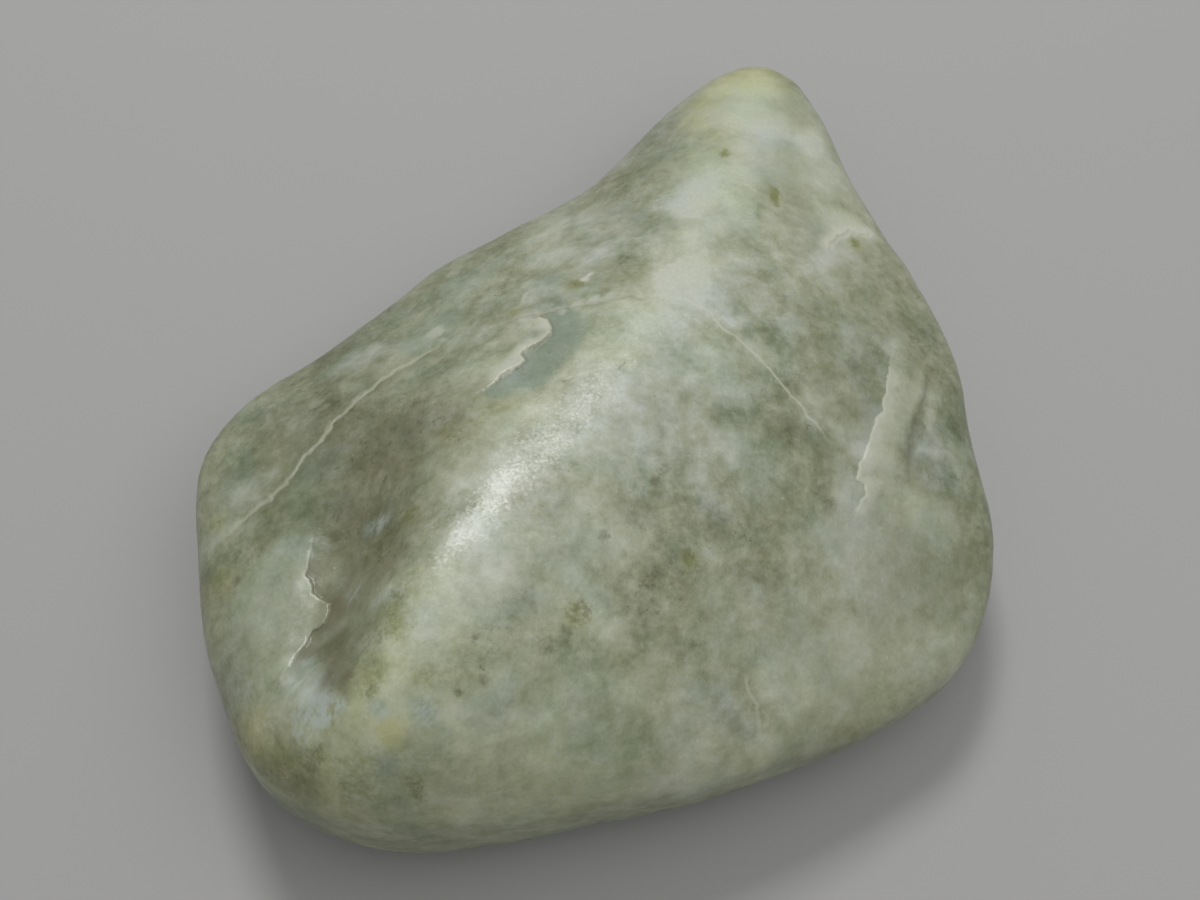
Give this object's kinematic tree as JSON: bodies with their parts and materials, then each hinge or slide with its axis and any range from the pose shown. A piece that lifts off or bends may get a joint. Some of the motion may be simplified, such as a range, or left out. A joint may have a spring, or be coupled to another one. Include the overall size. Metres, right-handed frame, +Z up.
{
  "type": "raw jade boulder",
  "caption": "Waterworn boulder of pale green jade: broad smooth face, long rounded crest, worn hollow, small chipped ledges and a blunt thin end, lying on its flattest side.",
  "frame": {"origin": "under the middle of the stone's box, on the plane of its flat resting face", "axes": "+Z up out of the resting face, +Y towards the thin end, +X towards the broad smooth face and its pale vein"},
  "size_m": [0.1164, 0.1308, 0.048],
  "materials": {
    "jade": "waterworn, waxy half-polish"
  },
  "bodies": {
    "root": {"jade_boulder": "jade"}
  },
  "joints": []
}
